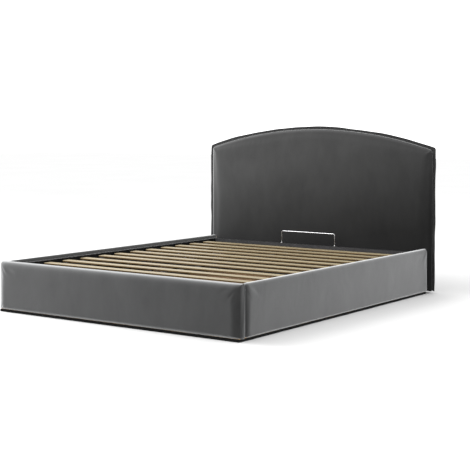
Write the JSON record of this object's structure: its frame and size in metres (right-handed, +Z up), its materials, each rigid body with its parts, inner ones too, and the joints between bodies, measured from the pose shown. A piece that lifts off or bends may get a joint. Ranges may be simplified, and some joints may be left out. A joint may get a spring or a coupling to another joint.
{
  "type": "upholstered storage bed",
  "caption": "Upholstered velvet storage bed with an arched headboard, low padded box base, lift-up slatted frame on gas struts and a wire mattress stop.",
  "frame": {"origin": "on the floor under the middle of the bed's footprint (overhanging headboard seam included)", "axes": "+Z up, +Y from the foot towards the headboard, +X to the right for someone who stands at the foot and looks at the headboard"},
  "size_m": [1.78, 2.153, 1.068],
  "materials": {
    "velvet": "velvet, short pile",
    "velvet_seam": "velvet, folded seam",
    "lining": "non-woven lining",
    "particle_board": "raw board",
    "softwood": "sawn",
    "hardboard": "smooth, pale",
    "slat_wood": "satin lacquer",
    "cap_plastic": "moulded",
    "frame_steel": "powder coat",
    "bracket_steel": "zinc plated",
    "bright_steel": "polished",
    "chrome_wire": "polished",
    "strut_black": "gloss paint",
    "black_plastic": "moulded",
    "webbing": "woven"
  },
  "bodies": {
    "bed_base": {"base_plinth": "black_plastic", "corner_brackets": "bracket_steel", "floor_ledge_foot": "softwood", "floor_ledge_head": "softwood", "floor_ledge_left": "softwood", "floor_ledge_right": "softwood", "floor_panel_left": "hardboard", "floor_panel_right": "hardboard", "floor_runner": "softwood", "foot_board": "particle_board", "foot_board_cover": "velvet", "frame_rests": "softwood", "headboard_batten_low": "softwood", "headboard_batten_mid": "softwood", "headboard_border": "velvet", "headboard_flange": "velvet_seam", "headboard_lining": "lining", "headboard_pad": "velvet", "headboard_panel": "particle_board", "headboard_post_left": "softwood", "headboard_post_right": "softwood", "hinge_pins": "bright_steel", "hinge_plate_left": "bracket_steel", "hinge_plate_right": "bracket_steel", "plate_screws": "bright_steel", "side_board_left": "particle_board", "side_board_right": "particle_board", "side_cover_left": "velvet", "side_cover_right": "velvet"},
    "lift_frame": {"frame_centre_beam": "frame_steel", "frame_tube_cross": "frame_steel", "frame_tube_foot": "frame_steel", "frame_tube_head": "frame_steel", "frame_tube_left": "frame_steel", "frame_tube_right": "frame_steel", "hinge_arm_left": "bracket_steel", "hinge_arm_right": "bracket_steel", "mattress_stop": "chrome_wire", "pull_strap": "webbing", "slat_01": "slat_wood", "slat_02": "slat_wood", "slat_03": "slat_wood", "slat_04": "slat_wood", "slat_05": "slat_wood", "slat_06": "slat_wood", "slat_07": "slat_wood", "slat_08": "slat_wood", "slat_09": "slat_wood", "slat_10": "slat_wood", "slat_11": "slat_wood", "slat_12": "slat_wood", "slat_centre_pads": "cap_plastic", "slat_end_pads": "cap_plastic", "stop_fixings": "chrome_wire", "tube_end_plugs": "black_plastic"},
    "strut_cylinder_left": {"strut_cylinder_left": "strut_black"},
    "strut_cylinder_right": {"strut_cylinder_right": "strut_black"},
    "strut_rod_left": {"strut_rod_left": "bright_steel"},
    "strut_rod_right": {"strut_rod_right": "bright_steel"}
  },
  "joints": [
    {"name": "lift", "type": "hinge", "parent": "bed_base", "child": "lift_frame", "pos_m": [0, 0.6695, 0.162], "axis": [-1, 0, 0], "range_deg": [0, 38]},
    {"name": "strut_swing_left", "type": "hinge", "parent": "bed_base", "child": "strut_cylinder_left", "pos_m": [-0.788, 0.1115, 0.076], "axis": [1, 0, 0], "range_deg": [0, 3.43]},
    {"name": "strut_slide_left", "type": "slide", "parent": "strut_cylinder_left", "child": "strut_rod_left", "axis": [0, 0.9621, 0.2725], "range_m": [0, 0.0602]},
    {"name": "strut_swing_right", "type": "hinge", "parent": "bed_base", "child": "strut_cylinder_right", "pos_m": [0.788, 0.1115, 0.076], "axis": [1, 0, 0], "range_deg": [0, 3.43]},
    {"name": "strut_slide_right", "type": "slide", "parent": "strut_cylinder_right", "child": "strut_rod_right", "axis": [0, 0.9621, 0.2725], "range_m": [0, 0.0602]}
  ],
  "couplings": [
    {"joint": "strut_swing_left", "follows": "lift", "ratio": 0.08896},
    {"joint": "strut_slide_left", "follows": "lift", "m_per_rad": 0.09007},
    {"joint": "strut_swing_right", "follows": "lift", "ratio": 0.08896},
    {"joint": "strut_slide_right", "follows": "lift", "m_per_rad": 0.09007}
  ]
}
